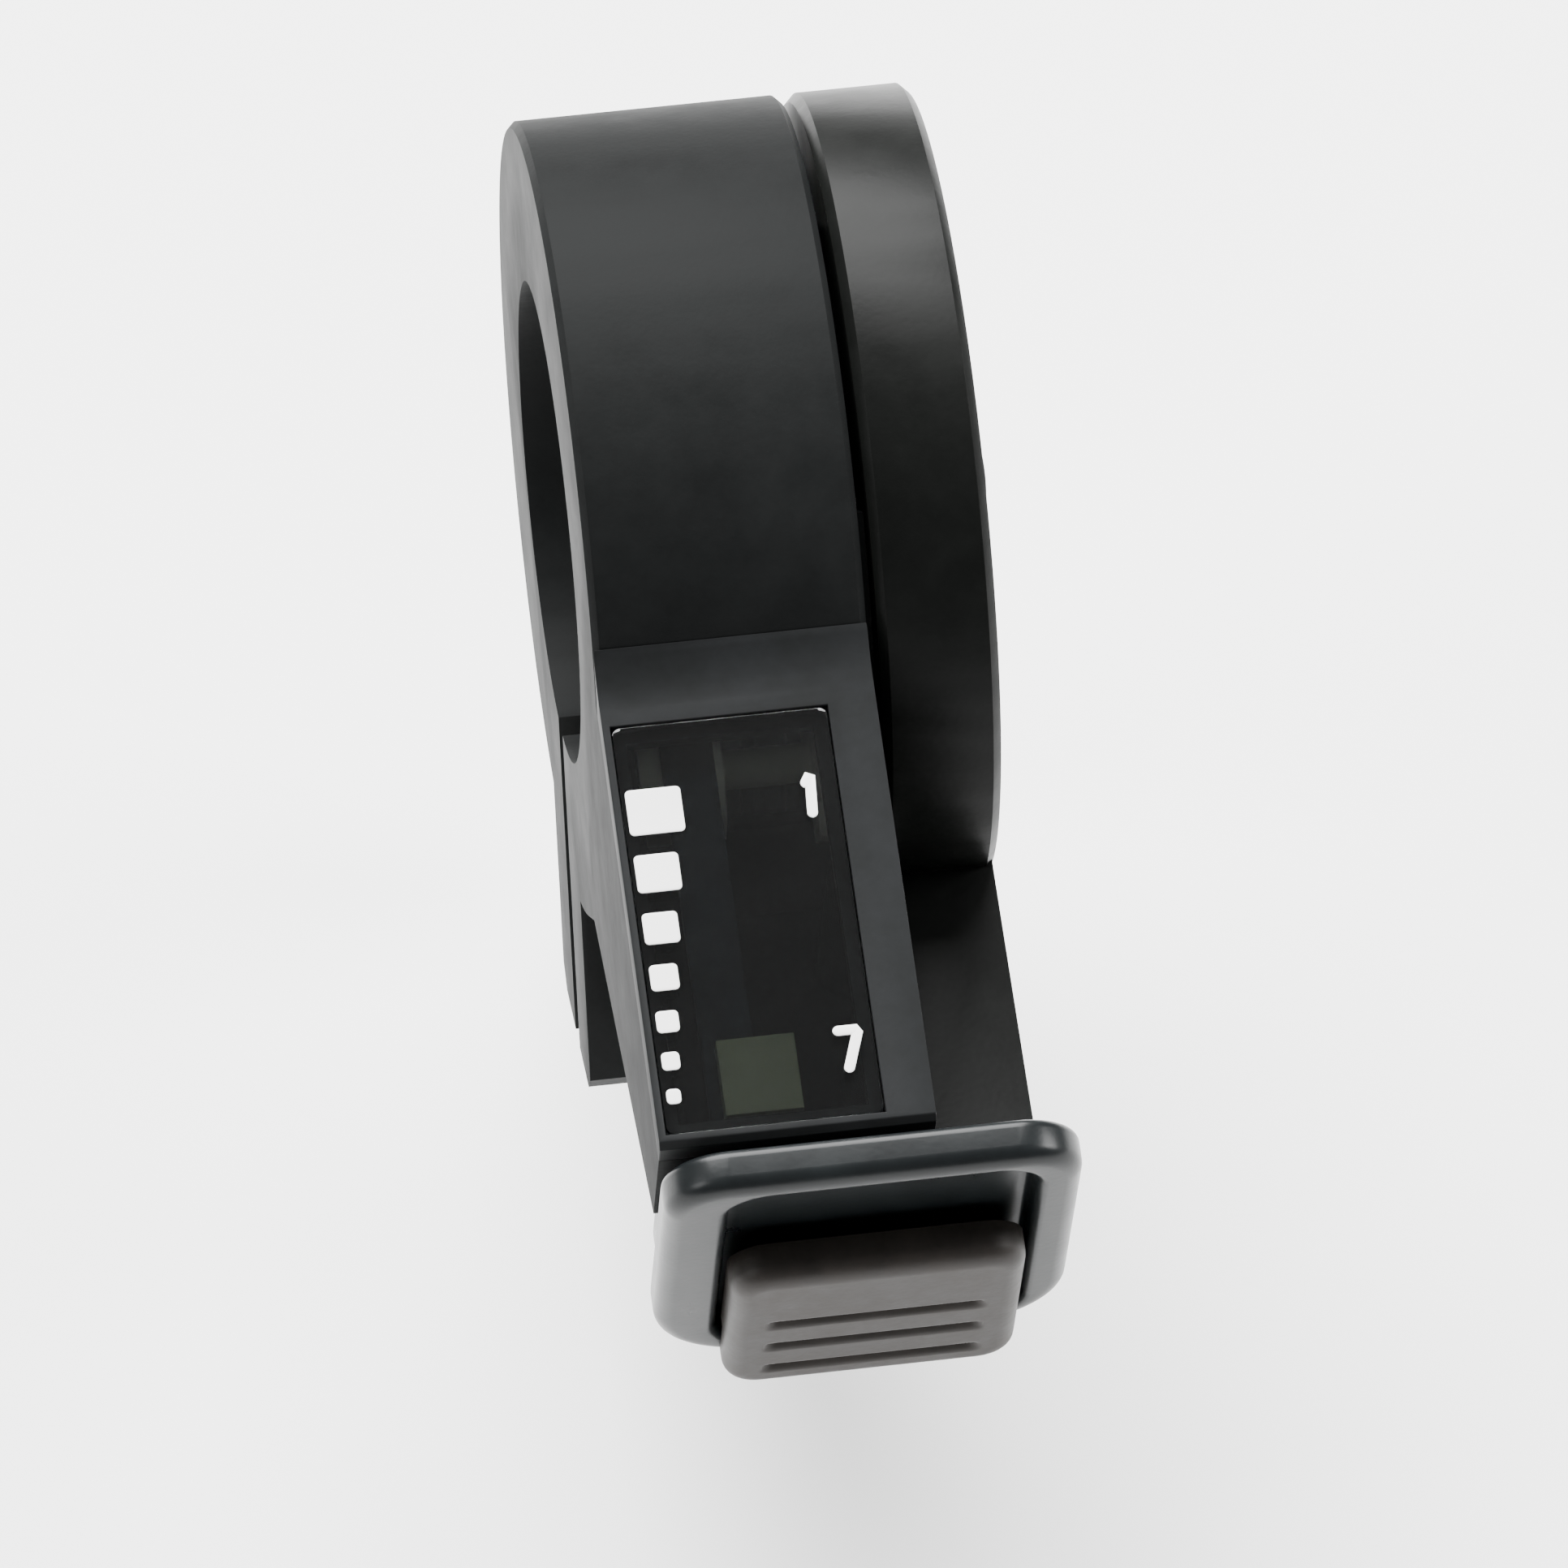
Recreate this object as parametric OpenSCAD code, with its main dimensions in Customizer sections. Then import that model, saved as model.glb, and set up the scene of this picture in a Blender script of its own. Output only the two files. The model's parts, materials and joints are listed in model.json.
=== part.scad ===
// Seven-speed thumb shifter for the right-hand end of a 22.2 mm handlebar.
// Origin on the bar's axis, at the middle of the housing ring. +X points outboard
// along the bar, +Y forward and +Z up. The display tongue points back at the rider
// and drops by tongue_drop below the horizontal.
// "Tongue frame": the frame tilted with the tongue, where -Y runs along the tongue,
// away from the bar, and +Z stands up from the display. pol(r, a) is a point of its
// Y-Z plane at radius r, with a = 0 along the tongue and a = 90 up from the display.

/* [Handlebar clamp] */
// Diameter of the handlebar
bar_d = 22.2; // [21.8:0.1:26.8]
// Gap between the bar and the clamp's bore, on the radius
clamp_gap = 0.05; // [0.02:0.01:0.15]
// Width of the clamp collar along the bar
collar_w = 5.6; // [5:0.1:9]
// Width of the slit that the bolt closes
slit_w = 1.6; // [1:0.1:2.5]
// Direction of the clamp ears, in the tongue frame
ear_angle = -55; // [-70:1:-50]
// Diameter of the clamp bolt
bolt_d = 4; // [3:0.5:5]

/* [Housing ring] */
// Width of the whole ring along the bar
ring_w = 12.4; // [12:0.1:18]
// Wall of the sleeve that the moving parts turn on
sleeve_t = 1.15; // [1:0.05:2]
// Radial room between the sleeve and the drum wall
drum_room = 4.8; // [4.6:0.1:7]
// Wall of the drum
wall = 1.4; // [1.2:0.1:2]

/* [Display tongue] */
// Drop of the tongue below the horizontal
tongue_drop = 20; // [0:1:35]
// Distance from the bar's axis to the end of the tongue
tongue_reach = 36.2; // [36:0.1:46]
// Height of the display face above the bar's axis
face_h = 13; // [12.6:0.1:14]
// Depth of the tongue at its end, the bezel included
tongue_end_t = 8; // [7.6:0.1:8.4]
// Thickness of the bezel frame
bezel_t = 1.6; // [1.4:0.1:2]
// Thickness of the window lens
lens_t = 0.9; // [0.7:0.1:1.1]
// Border of the bezel on its lever side
border_side = 2.2; // [2.1:0.1:3]
// Radius of the hollow fillet between the ring and the display
fillet_r = 5; // [2:0.1:6]
// Border of the bezel next to the ring
border_ring = 2.7; // [1.5:0.1:3.5]
// Border of the bezel at its other two edges
border_thin = 0.35; // [0.3:0.05:0.8]

/* [Gears and display] */
// Number of gears
gear_count = 7; // [5:1:8]
// Turn of the lever from the highest gear to the lowest
lever_range = 56; // [40:1:60]
// Growth of each detent step over the one before it
step_growth = 1.12; // [1:0.01:1.2]
// Size of gear teeth, as a module
gear_module = 0.8; // [0.7:0.05:0.85]
// Teeth of the idler pinion
pinion_teeth = 8; // [7:1:9]
// Travel of the pointer over the whole range
pointer_travel = 13.7; // [10:0.1:14]
// Length of the pointer along the tongue
pointer_len = 3.6; // [2:0.1:4]
// Width of the largest gear mark
mark_w = 2.5; // [1.6:0.1:3]
// Length of the largest gear mark along the tongue
mark_len = 2.2; // [1.5:0.1:2.4]

/* [Lever] */
// Width of the lever's hub along the bar
hub_w = 5.4; // [5:0.1:8]
// Slit between the ring and the hub
hub_gap = 0.5; // [0.3:0.05:1]
// Width of the lever arm along the bar
arm_w = 5.3; // [4.5:0.1:7]
// Gap between the tongue's end and the paddle
paddle_gap = 0.5; // [0.4:0.05:1.5]
// How far the paddle stands past the arm, along the bar
paddle_over = 0.6; // [0.2:0.1:2]
// Height of the paddle, along the direction up from the display
paddle_h = 20.6; // [20:0.1:24]
// Thickness of the paddle's frame
paddle_t = 2.1; // [2:0.1:3.5]
// Rim of the paddle above its recess
paddle_rim = 1.4; // [1:0.1:3]
// Width of the rubber thumb pad
pad_w = 13.4; // [11:0.1:14]
// Height of the rubber thumb pad
pad_h = 13; // [10:0.1:14]
// How far the pad stands out of the paddle
pad_proud = 1.4; // [1:0.1:3]

/* [Cable adjuster] */
// Outer diameter of the gear housing that plugs into the adjuster
housing_d = 5; // [4:0.5:5]
// Diameter of the adjuster's thread
adjuster_d = 5; // [4.8:0.1:6]
// Diameter of the adjuster's knob
knob_d = 8.4; // [8:0.1:9.2]
// Length of the adjuster's knob
knob_l = 11; // [10:0.5:14]

/* [Hidden] */
$fn = 96;
eps = 0.01;
run_fit = 0.05;
touch = 0.05;
free_gap = 0.3;
chamfer = 0.4;

// Radii about the bar, from the inside out
bore_r = bar_d / 2 + clamp_gap;
sleeve_r = bore_r + sleeve_t;
drum_r = sleeve_r + drum_room;
ring_r = drum_r + wall;
flange_r = drum_r - 0.7;
turn_r = sleeve_r + run_fit;

// Places along the bar, from the inboard face out
ring_in = -ring_w / 2;
ring_out = ring_w / 2;
drum_floor = ring_in + collar_w;
hub_in = ring_out + hub_gap;
hub_out = hub_in + hub_w;
hub_face = hub_out - 0.6;

// Spool and display drive
plate_t = 0.8;
plate_in = drum_floor + free_gap;
plate_out = plate_in + plate_t;
groove_flange_w = 2.6;
gear_in = plate_out + groove_flange_w + 0.2;
end_flange_w = 0.7;
spool_out = ring_out - 0.1;
gear_out = spool_out - end_flange_w;
groove_x = plate_out + groove_flange_w / 2;
cable_r = flange_r - 0.7;
backlash = 0.15;
addendum = 0.8 * gear_module;
dedendum = 1.1 * gear_module;
pinion_neck_r = 0.9;
neck_room = 0.3;
spool_teeth = ceil(2 * (flange_r + neck_room + pinion_neck_r - backlash) / gear_module - pinion_teeth);
spool_pitch_r = gear_module * spool_teeth / 2;
pinion_pitch_r = gear_module * pinion_teeth / 2;
pinion_dist = spool_pitch_r + pinion_pitch_r + backlash;
pinion_room = pinion_pitch_r + addendum + 0.4;
deck_h = face_h - bezel_t;
pinion_h = deck_h - pinion_room;
pinion_l = sqrt(pinion_dist * pinion_dist - pinion_h * pinion_h);
pinion_angle = atan2(pinion_h, pinion_l);
pinion_turn = lever_range * spool_teeth / pinion_teeth;
band_t = 0.2;
band_drum_r = pointer_travel / (pinion_turn * PI / 180);
journal_r = 0.6;

// Tongue, its cavity and the window
cavity_in = ring_in + wall;
cavity_out = ring_out - 1.1;
end_wall = 1.3;
under_end = face_h - tongue_end_t;
under_ring_l = ring_r - 0.9;
under_ring_h = -5.2;
window_in = ring_in + border_thin;
window_out = ring_out - border_side;
window_near = sqrt(pow(ring_r, 2) - pow(face_h, 2)) + border_ring;
window_far = tongue_reach - border_thin - 0.25;
fillet_l = sqrt(pow(ring_r + fillet_r, 2) - pow(face_h + fillet_r, 2));
fillet_top = at(fillet_l, face_h + fillet_r) * ring_r / (ring_r + fillet_r);
ledge = 0.7;
screw_r = 0.8;
screw_x = ring_out - 1.25;
screw_post_r = 1.9;
screw_ls = [pinion_l + pinion_room + screw_post_r + 1.1, tongue_reach - 5.2];
screw_head_r = 1.25;
screw_head_h = 1.2;

// Pointer and scale
pointer_x = [ring_in + 3.2, ring_in + 6.7];
pointer_end = tongue_reach - end_wall - 0.25;
pointer_low = pinion_h + band_drum_r + band_t + 0.15;
pointer_top = face_h - lens_t - 0.25;
scale_far = tongue_reach - 2.4;
mark_shrink = 0.83;
mark_narrow = 0.8;
mark_margin = 0.25;
mark_t = 0.08;

// Detent, stop and keys, as angles about the bar in the tongue frame
plate_r = drum_r - 1.5;
nib_angle = 110;
nib_r = 0.75;
notch_r = nib_r + 0.1;
spring_span = 50;
leaf_t = 0.35;
leaf_r = drum_r - 0.7;
stop_angle = -100;
stop_r = turn_r + 2.05;
stop_pin_r = 0.7;
key_angles = [30, 210];
key_span = 34;
key_len = 2.1;
key_in = turn_r + 1.25;
key_out = flange_r - 0.5;
bush_t = 0.75;

// Clamp ears and their bolt
nut_across = bolt_d * 1.75;
ear_w = nut_across + 2.6;
ear_half = 5.2;
ear_bolt_r = ring_r + 4.7;
ear_end_r = ear_bolt_r + nut_across / 2 / cos(30) + 1.2;
bolt_x = ring_in + ear_w / 2;
bolt_head_h = bolt_d * 0.8;
bolt_head_r = bolt_d * 0.875;
nut_h = bolt_d * 0.8;

// Cable boss and adjuster, straight down from the front of the spool
boss_r = 4.3;
boss_end = -1.5 - ring_r;
thread_len = 9;
stud_r = adjuster_d / 2;
knob_top = boss_end - 3.2;
knob_r = knob_d / 2;
socket_r = housing_d / 2 + 0.1;
socket_l = 6;
port_angle = 160;
port_r = 2.4;

// Lever arm and paddle
arm_out = hub_in + arm_w;
paddle_back = tongue_reach + paddle_gap;
paddle_front = paddle_back + paddle_t;
paddle_top = face_h + 0.5;
paddle_bottom = paddle_top - paddle_h;
paddle_in = ring_in;
paddle_w = arm_out + paddle_over - paddle_in;
paddle_mid = paddle_in + paddle_w / 2;
block_back = tongue_reach - 2.3;
block_top = 2.7;
foot_t = 2;
foot_in = hub_in - 4;
paddle_round = 3;
paddle_low_round = 5;
recess_depth = 1.4;
pocket_floor = paddle_back - 0.3;
pad_mid = paddle_mid + 0.4;
pad_side_gap = 0.25;
pad_sunk = 0.5;
pad_top = 5.2;
stem_h = 8;
stem_top = 2.9;
pad_bottom = pad_top - pad_h;
recess_top = paddle_top - paddle_rim;
recess_bottom = stem_top - stem_h - 0.3;
pad_front = paddle_front + pad_proud;
pad_grooves = [-0.3, -3, -5.7];
paddle_screw_xs = [foot_in + 1.8, pad_mid + pad_w / 2 - 2.1];
paddle_screw_h = -2.6;
paddle_screw_r = 1.1;

function pol(r, a) = [-r * cos(a), r * sin(a)];
function at(l, h) = [-l, h];
// Height of the tongue's underside at a distance l from the bar's axis
function under_h(l) =
    under_ring_h + (under_end - under_ring_h) * (l - under_ring_l) / (tongue_reach - under_ring_l);
// Turn of the lever at detent k, counted from the highest gear
function detent(k) =
    step_growth == 1
        ? lever_range * k / (gear_count - 1)
        : lever_range * (pow(step_growth, k) - 1) / (pow(step_growth, gear_count - 1) - 1);

// Turns the tongue frame into the row frame
module tongue_frame() rotate([tongue_drop, 0, 0]) children();

// Extrudes an outline of the Y-Z plane along the bar, from x0 to x1
module along_bar(x0, x1)
    translate([x0, 0, 0]) rotate([90, 0, 90]) linear_extrude(x1 - x0) children();

module tube(r_in, r_out, x0, x1)
    along_bar(x0, x1) difference() {
        circle(r_out);
        circle(r_in);
    }

// A disc whose two outer edges are chamfered
module soft_disc(r, x0, x1, c = chamfer)
    rotate([0, 90, 0]) rotate_extrude()
        polygon([[0, x0], [r - c, x0], [r, x0 + c], [r, x1 - c], [r - c, x1], [0, x1]]);

// A ring sector from angle a0 to a1, as an outline
module sector(r_in, r_out, a0, a1)
    intersection() {
        difference() {
            circle(r_out);
            circle(r_in);
        }
        polygon(concat([[0, 0]], [for (i = [0:4]) pol(2 * r_out, a0 + (a1 - a0) * i / 4)]));
    }

module rounded_rect(w, h, r) {
    square([w - 2 * r, h], center = true);
    square([w, h - 2 * r], center = true);
    for (x = [-1, 1], y = [-1, 1])
        translate([x * (w / 2 - r), y * (h / 2 - r)]) circle(r, $fn = 48);
}

// A rounded rectangle with other corners at its bottom than at its top
module shield(w, h, r_top, r_low) {
    translate([-w / 2, r_low - h / 2]) square([w, h - r_low - r_top]);
    translate([-w / 2 + r_low, -h / 2]) square([w - 2 * r_low, r_low + eps]);
    translate([-w / 2 + r_top, h / 2 - r_top - eps]) square([w - 2 * r_top, r_top + eps]);
    for (x = [-1, 1]) {
        translate([x * (w / 2 - r_low), r_low - h / 2]) circle(r_low, $fn = 64);
        translate([x * (w / 2 - r_top), h / 2 - r_top]) circle(r_top, $fn = 48);
    }
}

// Extrudes an outline of the X-height plane along the tongue, from l0 to l1
module along_tongue(l0, l1)
    translate([0, -l0, 0]) rotate([90, 0, 0]) linear_extrude(l1 - l0) children();

module gear_teeth(pitch_r, teeth, thick, turn = 0) {
    tip = pitch_r + addendum;
    root = pitch_r - dedendum;
    half = 90 * thick / (PI * pitch_r);
    circle(root + eps);
    for (k = [0:teeth - 1])
        rotate(turn + 360 * k / teeth)
            polygon([
                [root * cos(1.45 * half), -root * sin(1.45 * half)],
                [pitch_r * cos(half), -pitch_r * sin(half)],
                [tip * cos(0.45 * half), -tip * sin(0.45 * half)],
                [tip * cos(0.45 * half), tip * sin(0.45 * half)],
                [pitch_r * cos(half), pitch_r * sin(half)],
                [root * cos(1.45 * half), root * sin(1.45 * half)]
            ]);
}

module tongue_outline()
    polygon([
        at(8, deck_h), at(tongue_reach, deck_h), at(tongue_reach, under_end),
        at(under_ring_l, under_ring_h), at(8, under_ring_h)
    ]);

module tongue_cavity_outline() {
    slope = (under_end - under_ring_h) / (tongue_reach - under_ring_l);
    far = tongue_reach - end_wall;
    polygon([
        at(pinion_l, deck_h + eps), at(far, deck_h + eps),
        at(far, under_end + wall - slope * end_wall),
        at(pinion_l + 3.2, under_ring_h + wall + slope * (pinion_l + 3.2 - under_ring_l)),
        at(pinion_l, pinion_h)
    ]);
    translate(at(pinion_l, pinion_h)) circle(pinion_room);
}

module ear_outline()
    rotate(180 - ear_angle) {
        polygon([
            [ring_r - 2, -ear_half], [ear_end_r - 1, -ear_half], [ear_end_r, 1 - ear_half],
            [ear_end_r, ear_half - 1], [ear_end_r - 1, ear_half], [ring_r - 2, ear_half]
        ]);
    }

// Turns Z to the clamp bolt's axis, with its middle in the slit
module bolt_frame()
    rotate([180 - ear_angle, 0, 0]) translate([bolt_x, ear_bolt_r, 0]) children();

module housing()
    color("#2a2c2c") difference() {
        union() {
            tongue_frame() {
                soft_disc(ring_r, ring_in, ring_out, 0.3);
                along_bar(ring_in, ring_out) tongue_outline();
                along_bar(ring_in, ring_in + ear_w) ear_outline();
                along_bar(ring_out - 1, hub_out + 0.5) circle(sleeve_r);
            }
            translate([groove_x, cable_r, boss_end]) cylinder(r = boss_r, h = -boss_end);
        }
        tongue_frame() {
            tube(sleeve_r, drum_r, drum_floor, ring_out + 1);
            difference() {
                along_bar(cavity_in, cavity_out) tongue_cavity_outline();
                for (l = screw_ls)
                    translate([screw_x, -l, -20]) cylinder(r = screw_post_r, h = 40);
            }
            along_bar(ring_in - eps, hub_out + 1) circle(bore_r);
            // Slit that the bolt closes, open into the drum so that the collar can bend
            rotate([180 - ear_angle, 0, 0]) translate([ring_in - eps, 0, -slit_w / 2])
                cube([ear_w + 2 * eps, ear_end_r + 1, slit_w]);
            // Bearings of the idler pinion
            along_bar(ring_in + 0.5, ring_out - 0.25)
                translate(at(pinion_l, pinion_h)) circle(journal_r + run_fit);
            // Seat of the stop pin
            along_bar(drum_floor - 2.8, drum_floor + eps)
                translate(pol(stop_r, stop_angle)) circle(stop_pin_r);
            // Holes for the bezel's screws
            for (l = screw_ls)
                translate([screw_x, -l, under_h(l)]) {
                    translate([0, 0, -8]) cylinder(r = screw_head_r + 0.1, h = 8.9);
                    cylinder(r = screw_r + 0.1, h = 40);
                }
            bolt_frame() {
                translate([0, 0, -20]) cylinder(r = bolt_d / 2 + 0.15, h = 40);
                translate([0, 0, ear_half - 2.2]) rotate(30)
                    cylinder(d = nut_across / cos(30) + 0.2, h = 9, $fn = 6);
            }
            // Groove of the circlip
            tube(sleeve_r - 0.5, sleeve_r + 1, hub_face + 0.35, hub_face + 1.05);
        }
        translate([groove_x, cable_r, boss_end - eps]) {
            cylinder(r = stud_r + run_fit, h = thread_len);
            cylinder(r = 0.9, h = 6 - boss_end);
        }
        rotate([180 - port_angle, 0, 0]) translate([groove_x, drum_r - 1, 0]) rotate([-90, 0, 0])
            cylinder(r = port_r + touch, h = 5);
    }

module clamp_bolt()
    color("#8d9092") tongue_frame() bolt_frame() difference() {
        union() {
            translate([0, 0, -ear_half - bolt_head_h]) cylinder(r = bolt_head_r, h = bolt_head_h);
            translate([0, 0, -ear_half]) cylinder(d = bolt_d, h = 2 * ear_half + 1);
        }
        translate([0, 0, -ear_half - bolt_head_h - eps]) cylinder(d = bolt_d * 0.87, h = 2, $fn = 6);
    }

module clamp_nut()
    color("#8d9092") tongue_frame() bolt_frame() translate([0, 0, ear_half - 2.2]) rotate(30) difference() {
        cylinder(d = nut_across / cos(30), h = nut_h, $fn = 6);
        translate([0, 0, -eps]) cylinder(d = bolt_d, h = nut_h + 1);
    }

module window_cut(grow, h0, h1)
    translate([window_in - grow, -window_far - grow, h0])
        cube([window_out - window_in + 2 * grow, window_far - window_near + 2 * grow, h1 - h0]);

module display_bezel()
    color("#3c3f3f") tongue_frame() difference() {
        along_bar(ring_in, ring_out)
            difference() {
                union() {
                    polygon([
                        at(8, deck_h), at(tongue_reach, deck_h), at(tongue_reach, face_h - 0.3),
                        at(tongue_reach - 0.3, face_h), at(8, face_h)
                    ]);
                    difference() {
                        polygon([
                            at(fillet_l, face_h - 0.5), at(fillet_l, face_h), fillet_top,
                            fillet_top * 0.9
                        ]);
                        translate(at(fillet_l, face_h + fillet_r)) circle(fillet_r);
                    }
                }
                circle(ring_r + touch);
            }
        window_cut(0, face_h - lens_t, face_h + 1);
        window_cut(-ledge, deck_h - 1, face_h);
        for (l = screw_ls)
            translate([screw_x, -l, deck_h - eps]) cylinder(r = screw_r, h = 1.1);
    }

module display_lens()
    color("#17191a") tongue_frame() window_cut(-touch, face_h - lens_t, face_h - 0.1);

// One digit of the scale, drawn from straight strokes in a box of 1.3 by 2.2
module digit(strokes)
    for (s = strokes)
        translate(s[0]) rotate(s[2]) translate([0, -0.22]) square([s[1], 0.44]);

module gear_marks()
    color("#f2f2f2") tongue_frame() translate([0, 0, face_h - 0.1]) {
        for (k = [0:gear_count - 1]) {
            rank = gear_count - 1 - k;
            w = mark_w * pow(mark_narrow, rank);
            len = mark_len * pow(mark_shrink, rank);
            l = scale_far - pointer_travel * detent(k) / lever_range;
            translate([window_in + mark_margin, -l - len / 2, 0]) cube([w, len, mark_t]);
        }
        translate([1.9, 1.1 - scale_far + pointer_travel, 0]) linear_extrude(mark_t)
            digit([[[0.6, -2.4], 2.5, 78], [[0.35, -0.55], 0.85, 35]]);
        translate([1.9, 1.1 - scale_far + 1.4, 0]) linear_extrude(mark_t)
            digit([[[0.5, -2.4], 2.4, 68], [[0, -0.2], 1.55, 0]]);
    }

module bezel_screws()
    color("#6d7072") tongue_frame() for (l = screw_ls)
        translate([screw_x, -l, under_h(l) + 0.85 - screw_head_h]) difference() {
            union() {
                cylinder(r = screw_head_r, h = screw_head_h);
                cylinder(r = screw_r, h = deck_h + 0.05 - under_h(l) + screw_head_h);
            }
            translate([0, 0, -eps]) cylinder(r = 0.6, h = 0.7, $fn = 6);
        }

module pointer()
    color("#7c8069") tongue_frame()
        translate([pointer_x[0], -pointer_end, pointer_low])
            cube([pointer_x[1] - pointer_x[0], pointer_len, pointer_top - pointer_low]);

module indicator_band()
    color("#b9bcbe") tongue_frame() {
        r0 = band_drum_r + 0.02;
        along_bar(pointer_x[0] - 0.6, pointer_x[0] + 1.8) {
            translate(at(pointer_end, pinion_h + r0))
                square([pointer_end - pinion_l, band_t]);
            translate(at(pinion_l, pinion_h)) sector(r0, r0 + band_t, 90, 150);
        }
    }

module idler_pinion()
    color("#d9d5c8") tongue_frame() translate([0, -pinion_l, pinion_h]) {
        along_bar(gear_in + 0.1, cavity_out - 0.1)
            rotate(pinion_angle * -1 + 180 / pinion_teeth)
                gear_teeth(pinion_pitch_r, pinion_teeth, PI * gear_module / 2 - 0.22);
        along_bar(cavity_in + 0.2, drum_floor - 0.2) circle(band_drum_r);
        along_bar(drum_floor - 0.3, gear_in + 0.2) circle(pinion_neck_r);
        along_bar(ring_in + 0.6, ring_out - 0.35) circle(journal_r);
    }

module spool()
    color("#232525") tongue_frame() difference() {
        union() {
            along_bar(plate_out, spool_out) circle(turn_r + 0.95);
            along_bar(plate_out, plate_out + groove_flange_w) circle(flange_r);
            along_bar(gear_in, gear_out + eps)
                rotate(180 - pinion_angle) gear_teeth(spool_pitch_r, spool_teeth, PI * gear_module / 2 - 0.18);
            along_bar(gear_out, spool_out) circle(flange_r - 0.2);
            for (a = key_angles)
                along_bar(spool_out - eps, hub_in + key_len - 0.3)
                    sector(key_in + 0.1, key_out - 0.1, a + 1, a + key_span - 1);
        }
        along_bar(plate_out - 1, spool_out + 5) circle(turn_r);
        translate([groove_x, 0, 0]) rotate([0, 90, 0]) rotate_extrude() {
            translate([cable_r, 0]) circle(0.75, $fn = 32);
            translate([cable_r, -0.75]) square([3, 1.5]);
        }
    }

module index_ring()
    color("#9a9d9f") tongue_frame() along_bar(plate_in, plate_out) difference() {
        circle(plate_r);
        circle(turn_r + 0.05);
        for (k = [0:gear_count - 1])
            translate(pol(plate_r + 0.45, nib_angle + detent(k))) circle(notch_r, $fn = 48);
        sector(stop_r - stop_pin_r - touch, stop_r + stop_pin_r + touch, stop_angle, stop_angle + lever_range);
        for (a = [stop_angle, stop_angle + lever_range])
            translate(pol(stop_r, a)) circle(stop_pin_r + touch, $fn = 48);
    }

module click_spring()
    color("#b9bcbe") tongue_frame() along_bar(plate_in + 0.1, plate_out - 0.1) {
        sector(leaf_r, leaf_r + leaf_t, nib_angle - 3, nib_angle + spring_span);
        sector(leaf_r, drum_r, nib_angle + spring_span - 8, nib_angle + spring_span);
        intersection() {
            translate(pol(plate_r + 0.45, nib_angle)) circle(nib_r, $fn = 48);
            circle(leaf_r + eps);
        }
    }

module stop_pin()
    color("#9a9d9f") tongue_frame() along_bar(drum_floor - 2.8, plate_out - 0.1)
        translate(pol(stop_r, stop_angle)) circle(stop_pin_r);

module cable_port_plug()
    color("#1d1f1f") rotate([180 - port_angle, 0, 0]) translate([groove_x, drum_r + 0.15, 0])
        rotate([-90, 0, 0]) difference() {
            cylinder(r = port_r, h = wall + 0.1);
            translate([-0.4, -port_r - 1, wall - 0.5]) cube([0.8, 2 * port_r + 2, 2]);
        }

module barrel_adjuster()
    color("#1b1d1d") translate([groove_x, cable_r, 0]) difference() {
        union() {
            translate([0, 0, knob_top]) cylinder(r = stud_r, h = boss_end + thread_len - 0.5 - knob_top);
            translate([0, 0, knob_top - knob_l]) cylinder(r = knob_r - 0.5, h = knob_l);
            for (k = [0:11])
                rotate(30 * k) translate([knob_r - 0.7, 0, knob_top - knob_l * 0.75])
                    cylinder(r = 0.7, h = knob_l * 0.65, $fn = 24);
        }
        translate([0, 0, knob_top - knob_l - eps]) {
            cylinder(r = socket_r, h = socket_l);
            cylinder(r = 0.9, h = 60);
        }
    }

// Points of a wire bent along a helix, as rings of points around its centre line
function helix_rings(r, wire_r, turns, h, per_turn, sides) = [
    for (i = [0:turns * per_turn])
        let (a = 360 * i / per_turn, z = h * i / (turns * per_turn))
            for (s = [0:sides - 1])
                let (b = 360 * s / sides, rr = r + wire_r * cos(b))
                    [rr * cos(a), rr * sin(a), z + wire_r * sin(b)]
];

module adjuster_spring() {
    turns = 3;
    per_turn = 24;
    sides = 8;
    wire_r = 0.3;
    rings = turns * per_turn;
    gap = boss_end - knob_top;
    color("#b9bcbe") translate([groove_x, cable_r, knob_top + wire_r + touch])
        polyhedron(
            helix_rings(stud_r + 0.7, wire_r, turns, gap - 2 * wire_r - 2 * touch, per_turn, sides),
            concat(
                [[for (s = [0:sides - 1]) s]],
                [for (i = [0:rings - 1], s = [0:sides - 1])
                    let (n = (s + 1) % sides)
                        [i * sides + s, (i + 1) * sides + s, (i + 1) * sides + n, i * sides + n]],
                [[for (s = [0:sides - 1]) rings * sides + sides - 1 - s]]
            )
        );
}

module lever_arm()
    color("#1a1c1b") tongue_frame() difference() {
        union() {
            soft_disc(ring_r, hub_in, hub_out);
            along_bar(hub_in, arm_out)
                polygon([
                    at(10, -1.2), at(ring_r, -2), at(block_back, -0.7), at(block_back, -7.6),
                    at(ring_r - 2, -10.5), at(6, -14)
                ]);
            along_bar(foot_in, arm_out)
                polygon([
                    at(block_back - foot_t, -0.9), at(block_back, -0.7),
                    at(block_back, -7.6), at(block_back - foot_t, -7.8)
                ]);
        }
        along_bar(hub_in - 1, hub_out + 1) circle(turn_r + bush_t);
        along_bar(hub_face, hub_out + 1) circle(flange_r);
        along_bar(hub_in - eps, hub_in + key_len)
            for (a = key_angles) sector(key_in, key_out, a, a + key_span);
        for (x = paddle_screw_xs)
            translate([x, 0, paddle_screw_h]) rotate([90, 0, 0])
                translate([0, 0, block_back - foot_t - eps]) cylinder(r = paddle_screw_r, h = 9);
    }

module hub_bush()
    color("#d9d5c8") tongue_frame() tube(turn_r, turn_r + bush_t, hub_in, hub_face);

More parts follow.
